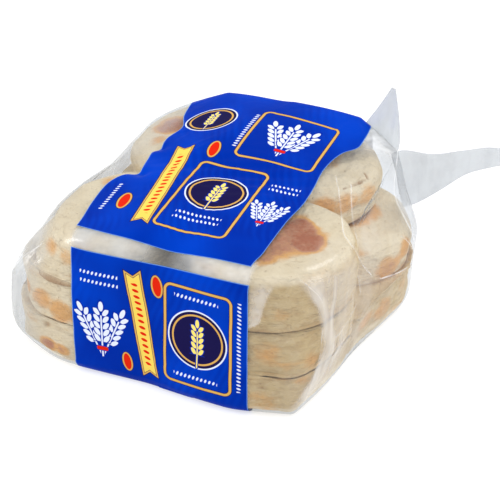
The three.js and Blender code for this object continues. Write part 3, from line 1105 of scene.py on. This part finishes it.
class Print(Sheet):
    """The band's print: plain shapes, in millimetres from the panel's left edge and its start.

    Every shape is the distance to its edge, less than nothing inside, and is then inked.
    """

    def __init__(self, name, settings):
        super().__init__(bpy.data.materials.new(name))
        at = self.attribute("print_at", "Vector")
        self.s, self.t, self.within = (self.value("SeparateXYZ", {0: at}, k) for k in range(3))
        inks = ("gold", "yellow", "red", "navy", "white", "pale", "edge")
        self.inks = {ink: getattr(settings, f"{ink}_ink") for ink in inks}
        self.inks["deep"] = settings.deep_blue
        place = self.place()
        # The blue field's brighter patches and the pleats' lighter and darker streaks are painted
        # sheen and shade.
        along = self.s * PLEAT_RUN[0] + self.t * PLEAT_RUN[1] + self.noise(place, 40, 1) * 9.0
        pleats = self.math("SINE", along * (2 * math.pi / PLEAT_PITCH))
        pleats = pleats * self.noise(place, 22, 1).step(0.42, 0.62, 0.0, 0.16)
        tone_and_sheen = self.math("ADD", self.noise(place, 16, 2).step(0.35, 0.7), pleats, clamp=True)
        self.colour = self.mix(tone_and_sheen, settings.deep_blue, settings.bright_blue)

    def placed(self, s, t, turn=0.0):
        """Coordinates about a point of the panel, turned by an angle in degrees."""
        return self.turned(self.s - s, self.t - t, turn)

    def turned(self, x, y, turn):
        c, n = math.cos(math.radians(turn)), math.sin(math.radians(turn))
        return x * c + y * n, y * c - x * n

    def repeated(self, value, pitch):
        """The value folded into one pitch about 0, so that what is drawn with it repeats."""
        return self.math("WRAP", value, pitch, 0.0) - pitch / 2

    def length(self, x, y):
        return self.math("SQRT", x * x + y * y)

    def oval(self, x, y, half_width, half_height):
        return (self.length(x / half_width, y / half_height) - 1.0) * min(half_width, half_height)

    def bar(self, x, y, half_width, half_height, corner):
        """A bar with rounded corners."""
        past_x, past_y = (self.math("MAXIMUM", abs(value) - (half - corner), 0.0)
                          for value, half in ((x, half_width), (y, half_height)))
        return self.length(past_x, past_y) - corner

    def ink(self, shape, *layers, soft=0.12):
        """Lays inks over a shape, each grown by its own distance and slightly soft at the edge."""
        for grown, name in layers:
            share = shape.step(grown - soft, grown + soft, 1.0, 0.0)
            self.colour = self.mix(share, self.colour, self.inks[name])

    def wheat(self, s, t, turn, size=1.0, name="pale"):
        """An ear of wheat in a deep outline: a stem, a tip, and one grain repeated up each side."""
        x, y = self.placed(s, t, turn)
        stem = self.bar(x, y + 4 * size, 0.35 * size, 11 * size, 0.3)
        grain = self.turned(abs(x) - 2.1 * size, self.repeated(y, 3.5 * size), -32)
        grain = self.oval(*grain, 1.05 * size, 2.2 * size)
        grain = self.math("MAXIMUM", grain, abs(y - 1.75 * size) - 8.6 * size)
        tip = self.oval(x, y - 11.6 * size, 1.1 * size, 2.5 * size)
        ear = self.math("MINIMUM", self.math("MINIMUM", stem, tip), grain)
        self.ink(ear, (0.55 * size, "deep"), (0, name))

    def sheaf(self, s, t, turn, size=1.0):
        """Three white ears of wheat fanned from one foot, with a red tie across their stems."""
        for lean in (-22, 22, 0):
            angle = math.radians(turn + lean)
            rise = 15 * size
            at = s - rise * math.sin(angle), t + rise * math.cos(angle)
            self.wheat(*at, turn + lean, size, "white")
        x, y = self.placed(s, t, turn)
        tie = self.bar(x, y - 4.5 * size, 2.6 * size, 1.0 * size, 0.8)
        self.ink(tie, (0.6, "deep"), (0, "red"))

    def roundel(self, s, t, radius):
        """A navy disc with a white rim and a gold ring."""
        self.ink(self.length(*self.placed(s, t)) - radius,
                 (0, "white"), (-0.9, "navy"), (-2.6, "gold"), (-3.7, "navy"))

    def sash(self, s, t, turn, half_width, half_length):
        """A yellow ribbon with a gold rim between navy edges, notched ends and red seeds on it."""
        x, y = self.placed(s, t, turn)
        ends = (abs(y) - abs(x) * 0.7 + (0.7 * half_width - half_length)) * 0.82
        self.ink(self.math("MAXIMUM", abs(x) - half_width, ends),
                 (1.7, "navy"), (1.2, "gold"), (0.3, "navy"), (0, "yellow"))
        self.seeds(s, t, turn, 0.82 * half_length, "red", 1.6)

    def berry(self, s, t, turn, size=1.0):
        """A red oval with a gold rim and a navy edge."""
        x, y = self.placed(s, t, turn)
        for half, rise, name in ((3.6, 7.1, "navy"), (3.2, 6.7, "gold"), (2.3, 5.8, "red")):
            self.ink(self.oval(x, y, half * size, rise * size), (0, name))

    def framed(self, s, t, half_width, half_height):
        """A gold outline with rounded corners between navy edges."""
        outline = abs(self.bar(*self.placed(s, t), half_width, half_height, 4.0))
        self.ink(outline, (1.25, "navy"), (0.8, "gold"))

    def seeds(self, s, t, turn, half_length, name="white", size=1.0):
        """A row of small slanted ovals."""
        x, y = self.placed(s, t, turn)
        seed = self.oval(*self.turned(x, self.repeated(y, 2.6 * size), 24), 1.3 * size, 0.62 * size)
        self.ink(self.math("MAXIMUM", seed, abs(y) - half_length), (0, name))

    def edges(self):
        """A pale hairline where the print begins."""
        self.ink(self.math("MINIMUM", self.within, self.t), (0.4, "edge"), soft=0.25)


def print_material(settings, name, design):
    """Glossy printed film in the given design."""
    sheet = Print(name, settings)
    design(sheet)
    sheet.edges()
    bump = sheet.bump(sheet.noise(sheet.place(), 120, 2), 0.12, 0.001)
    return sheet.finish(sheet.value("BsdfPrincipled", {
        "Base Color": sheet.colour, "Roughness": 0.32, "Specular IOR Level": 0.012, "Normal": bump,
    }))


def front_design(sheet):
    """A sheaf at the left, a slanted sash with berries, and a framed wheat roundel at the right."""
    sheet.sheaf(18.5, 72, 180, 1.35)
    sheet.seeds(18, 14, 90, 12)
    sheet.seeds(18, 20, 90, 12)
    sheet.sash(44, 43, -8, 4.0, 34)
    sheet.berry(54, 15, -8, 1.1)
    sheet.berry(34, 72, -8, 1.0)
    sheet.framed(80, 43, 21, 32)
    sheet.roundel(80, 43, 19)
    sheet.wheat(80, 45, 180, 1.1)
    sheet.seeds(79, 17, 90, 14)
    sheet.seeds(79, 69, 90, 14)
    sheet.seeds(106, 42, 0, 30)


def top_design(sheet):
    """A slanted sash at the left, a framed roundel in the middle, and sheaves beside and behind."""
    sheet.framed(62, 54, 22, 36)
    sheet.roundel(62, 60, 19)
    sheet.wheat(62, 58, 0, 1.1)
    sheet.seeds(62, 29, 90, 14)
    sheet.seeds(62, 34, 90, 14)
    sheet.sash(28, 60, 6, 4.2, 42)
    sheet.berry(13, 34, 6, 1.3)
    sheet.berry(42, 103, 6, 1.2)
    sheet.sheaf(97, 36, 0, 0.95)
    sheet.seeds(98, 76, 90, 9)
    sheet.seeds(98, 81, 90, 9)
    sheet.seeds(2.5, 36, 0, 16)
    sheet.roundel(25, 140, 16)
    sheet.wheat(25, 139, 0, 0.85)
    sheet.framed(80, 130, 25, 27)
    sheet.sheaf(80, 110, 0, 1.4)
    sheet.seeds(52, 130, 0, 20)


# ---- Settings --------------------------------------------------------
def colour_setting(name, shade, description):
    """A colour that a user may change, from its 0 to 255 shade."""
    return bpy.props.FloatVectorProperty(
        name=name, description=description, subtype="COLOR", size=4, min=0, max=1,
        default=linear(shade))


def share_setting(name, default, description, most=1.0):
    """A share that a user may change, from nothing to the most."""
    return bpy.props.FloatProperty(
        name=name, description=description, default=default, min=0, max=most, subtype="FACTOR")


def strength_setting(name, default, description):
    """A light's strength that a user may change."""
    return bpy.props.FloatProperty(name=name, description=description, default=default, min=0)


class BreadSettings(bpy.types.PropertyGroup):
    lumpiness: share_setting("Lumpiness", 1.0, "Height of the lumps, as a share of the usual", 2)
    browning: share_setting("Browning", 1.0, "How brown the griddled places are", 1.5)
    flour_colour: colour_setting("Flour", (234, 216, 184), "Flour-dusted crust of the faces")
    # The side colour is partly painted shade: the upright sides are darker than the faces.
    side_colour: colour_setting("Side", (206, 178, 130), "Bare crust of the sides")
    golden_colour: colour_setting("Golden", (226, 169, 102), "Lightly browned crust")
    toast_colour: colour_setting("Toasted", (194, 136, 104), "Griddled crust")
    brown_colour: colour_setting("Brown", (174, 102, 70), "Darkest griddle marks")
    # The crease colour is painted shade in cracks, joints, pores, wrinkles and hollows.
    crease_shade_colour: colour_setting("Crease", (150, 104, 58), "Depth of cracks, joints and pores")
    dust_colour: colour_setting("Dusting", (238, 226, 198), "Loose flour on the crust")


class FilmSettings(bpy.types.PropertyGroup):
    ripple: share_setting("Ripple", 1.0, "Height of the film's folds, as a share of the usual", 2)
    veil: share_setting("Haze", 0.03, "How hazy the film is where it lies on the bread")
    lobe_veil: share_setting("Flared haze", 0.25, "How hazy the flared end is")
    glare: share_setting("Glare", 1.0, "Strength of the white glare, as a share of the usual", 1.5)
    gloss_roughness: share_setting("Gloss roughness", 0.22, "How soft the film's reflections are")
    film_colour: colour_setting("Film", (235, 237, 239), "What clear film lets through")
    haze_colour: colour_setting("Haze", (196, 198, 200), "The film's grey haze")
    glare_colour: colour_setting("Glare colour", (246, 246, 246), "The film's white glare")


class PrintSettings(bpy.types.PropertyGroup):
    deep_blue: colour_setting("Deep blue", (0, 40, 148), "The field's darker blue")
    # The brighter blue is the painted sheen on the blue field.
    bright_blue: colour_setting("Bright blue", (0, 58, 180), "The field's brighter blue")
    gold_ink: colour_setting("Gold", (206, 160, 84), "Gold lines")
    yellow_ink: colour_setting("Yellow", (228, 198, 88), "Sashes")
    red_ink: colour_setting("Red", (208, 36, 14), "Berries")
    navy_ink: colour_setting("Navy", (24, 20, 66), "Outlines and the roundel's field")
    white_ink: colour_setting("White", (214, 220, 238), "Sheaves, seeds and rims")
    pale_ink: colour_setting("Pale yellow", (236, 214, 110), "Wheat ears")
    edge_ink: colour_setting("Edge", (96, 140, 205), "Hairline at the print's edge")


class StageSettings(bpy.types.PropertyGroup):
    floor_half: bpy.props.FloatProperty(
        name="Floor", description="Half the floor's side", default=6.0, min=1, unit="LENGTH")
    floor_glow: strength_setting("Floor glow", 0.58, "Light that the pale floor gives from below")
    key_power: strength_setting("Key", 1.06, "Strength of the broad light from above")
    back_power: strength_setting("Back", 0.35, "Strength of the weaker broad light from behind")
    sky_power: strength_setting("Surround", 0.72, "Strength of the even light all round")


# ---- Operators -------------------------------------------------------
class MUFFINBAG_OT_bread(bpy.types.Operator):
    """Lays the twelve muffins in their four stacks"""

    bl_idname = "muffinbag.bread"
    bl_label = "Muffins"

    def execute(self, context):
        settings = context.scene.muffin_bag_bread
        ripple = context.scene.muffin_bag_film.ripple
        material = bread_material(settings)
        for number, muffin in enumerate(MUFFINS):
            seed = 100 * (number + 1)
            points, faces, crust = muffin_shape(muffin, seed, settings.lumpiness, ripple)
            crust["toast"] = toast_of(muffin, points, seed, settings.browning)
            new_piece(f"muffin_{muffin.name}", points, faces, material, "bread", **crust)
        return {"FINISHED"}


class MUFFINBAG_OT_film(bpy.types.Operator):
    """Draws the clear film over the muffins"""

    bl_idname = "muffinbag.film"
    bl_label = "Film"

    def execute(self, context):
        settings = context.scene.muffin_bag_film
        material = film_material(settings, "clear_film", settings.veil)
        box, faces = box_grid(film_cuts())
        points, facing, gap, taut = film_surface(CORE, unit(box), settings.ripple)
        points -= UNDER_PRINT * ease(inside_band(taut), 0, PRINT_EDGE)[:, None] * facing
        points[:, 2] = np.maximum(points[:, 2], FILM_FLOOR)
        haze, glare = veils_of(taut, gap)
        fold, fold_height = folds_at(taut, facing)
        new_piece("clear_film", points, outward(points, faces), material, "film",
                  haze=haze, glare=glare, fold=fold, fold_height=fold_height)
        return {"FINISHED"}


class MUFFINBAG_OT_band(bpy.types.Operator):
    """Lays the two printed panels of the band on the film"""

    bl_idname = "muffinbag.band"
    bl_label = "Printed band"

    def execute(self, context):
        ripple = context.scene.muffin_bag_film.ripple
        settings = context.scene.muffin_bag_print
        even = np.ones(FRONT_ROWS)
        panels = {
            "front": (FRONT_ANGLES, [BAND_LEFT_FRONT * even, BAND_RIGHT_FRONT * even],
                      STRIP_START[1] - STRIP_START[0], front_design, 1),
            "top": (TOP_ANGLES, top_edges(TOP_ANGLES, TOP_DEPTHS), 0, top_design, -1),
        }
        for name, (angles, edges, rise, design, way_round) in panels.items():
            points, at = band_panel(angles, *edges, rise, ripple)
            faces = [f[::way_round] for f in grid_faces(len(angles), PANEL_COLUMNS)]
            material = print_material(settings, f"{name}_print", design)
            new_piece(f"band_{name}", points, faces, material, "print", print_at=at)
        return {"FINISHED"}


class MUFFINBAG_OT_flare(bpy.types.Operator):
    """Adds the two lobes of the film's loose end"""

    bl_idname = "muffinbag.flare"
    bl_label = "Flared end"

    def execute(self, context):
        settings = context.scene.muffin_bag_film
        material = film_material(settings, "flared_film", settings.lobe_veil)
        for name, lobe in LOBES.items():
            points, faces = lobe_sheet(lobe, settings.ripple)
            none = dict.fromkeys(("haze", "glare", "fold", "fold_height"), np.zeros(len(points)))
            new_piece(name, points, faces, material, "film", **none)
        return {"FINISHED"}


class MUFFINBAG_OT_stage(bpy.types.Operator):
    """Sets the pale floor, the soft light and the camera"""

    bl_idname = "muffinbag.stage"
    bl_label = "Stage"

    def execute(self, context):
        settings = context.scene.muffin_bag_stage
        scene = context.scene
        half = settings.floor_half
        mesh = bpy.data.meshes.new("floor")
        corners = [(-half, -half, 0), (half, -half, 0), (half, half, 0), (-half, half, 0)]
        mesh.from_pydata(corners, [], [(0, 1, 2, 3)])
        sheet = Sheet(bpy.data.materials.new("pale_floor"))
        greys = ((shade, shade, shade, 1) for shade in (0.46, 0.48))
        mesh.materials.append(sheet.finish(sheet.value("BsdfPrincipled", {
            "Base Color": sheet.mix(sheet.noise(sheet.place(), 3, 2), *greys),
            "Roughness": 0.9, "Specular IOR Level": 0.0,
            "Emission Color": (1, 1, 1, 1), "Emission Strength": settings.floor_glow,
        })))
        floor = bpy.data.objects.new("floor", mesh)
        scene.collection.objects.link(floor)
        floor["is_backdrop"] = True

        sheet = Sheet(bpy.data.worlds.new("white_surround"))
        scene.world = sheet.finish(sheet.value("MixShader", {
            0: sheet.value("LightPath", output="Is Camera Ray"),
            1: sheet.value("Background", {
                "Color": (0.96, 0.98, 1.0, 1), "Strength": settings.sky_power,
            }),
            2: sheet.value("Background", {"Color": (1, 1, 1, 1), "Strength": 1.0}),
        }), "OutputWorld")

        for name, power, at in (("key", settings.key_power, KEY_FROM),
                                ("from_behind", settings.back_power, BEHIND_FROM)):
            sun = bpy.data.lights.new(name, "SUN")
            sun.energy = power
            sun.angle = math.radians(SUN_WIDTH)
            self.place(scene, sun, name, at, (0, 0, 0))
        for name, (power, sides, at) in SOFT_LIGHTS.items():
            light = bpy.data.lights.new(name, "AREA")
            light.shape = "RECTANGLE"
            light.energy = power
            light.size, light.size_y = sides
            self.place(scene, light, name, at, (0, 0, 0.05))

        camera = bpy.data.cameras.new("camera")
        camera.sensor_width = SENSOR
        camera.lens = LENS
        camera.clip_end = 30
        azimuth, elevation = math.radians(VIEW_AZIMUTH), math.radians(VIEW_ELEVATION)
        back = Vector((math.sin(azimuth) * math.cos(elevation),
                       -math.cos(azimuth) * math.cos(elevation), math.sin(elevation)))
        target = Vector(VIEW_TARGET) * MM
        at = target + back * VIEW_DISTANCE * MM
        scene.camera = self.place(scene, camera, "camera", at, target)
        scene.view_settings.view_transform = "Standard"
        return {"FINISHED"}

    @staticmethod
    def place(scene, data, name, at, target):
        """Puts a light or camera at a point and turns it towards another."""
        thing = bpy.data.objects.new(name, data)
        thing.location = at
        towards = Vector(target) - Vector(at)
        thing.rotation_euler = towards.to_track_quat("-Z", "Y").to_euler()
        scene.collection.objects.link(thing)
        return thing


class MUFFINBAG_PT_panel(bpy.types.Panel):
    """Lists the bag's settings and its pieces"""

    bl_label = "Muffin Bag"
    bl_idname = "MUFFINBAG_PT_panel"
    bl_space_type = "VIEW_3D"
    bl_region_type = "UI"
    bl_category = "Muffin Bag"

    def draw(self, context):
        for group, (settings, operators) in PARTS.items():
            box = self.layout.box()
            values = getattr(context.scene, group)
            for key in settings.__annotations__:
                box.prop(values, key)
            for operator in operators:
                box.operator(operator.bl_idname)


PARTS = {
    "muffin_bag_bread": (BreadSettings, (MUFFINBAG_OT_bread,)),
    "muffin_bag_film": (FilmSettings, (MUFFINBAG_OT_film, MUFFINBAG_OT_flare)),
    "muffin_bag_print": (PrintSettings, (MUFFINBAG_OT_band,)),
    "muffin_bag_stage": (StageSettings, (MUFFINBAG_OT_stage,)),
}


def register():
    for group, (settings, operators) in PARTS.items():
        bpy.utils.register_class(settings)
        setattr(bpy.types.Scene, group, bpy.props.PointerProperty(type=settings))
        for operator in operators:
            bpy.utils.register_class(operator)
    bpy.utils.register_class(MUFFINBAG_PT_panel)


def unregister():
    bpy.utils.unregister_class(MUFFINBAG_PT_panel)
    for group, (settings, operators) in reversed(PARTS.items()):
        for operator in reversed(operators):
            bpy.utils.unregister_class(operator)
        delattr(bpy.types.Scene, group)
        bpy.utils.unregister_class(settings)


def main():
    register()
    bpy.ops.muffinbag.bread()
    bpy.ops.muffinbag.film()
    bpy.ops.muffinbag.band()
    bpy.ops.muffinbag.flare()
    bpy.ops.muffinbag.stage()
    boxes = {"cad": CAD_BOX, "visual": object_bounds()}
    boxes = {key: [list(corner) for corner in box] for key, box in boxes.items()}


if __name__ == "__main__":
    main()
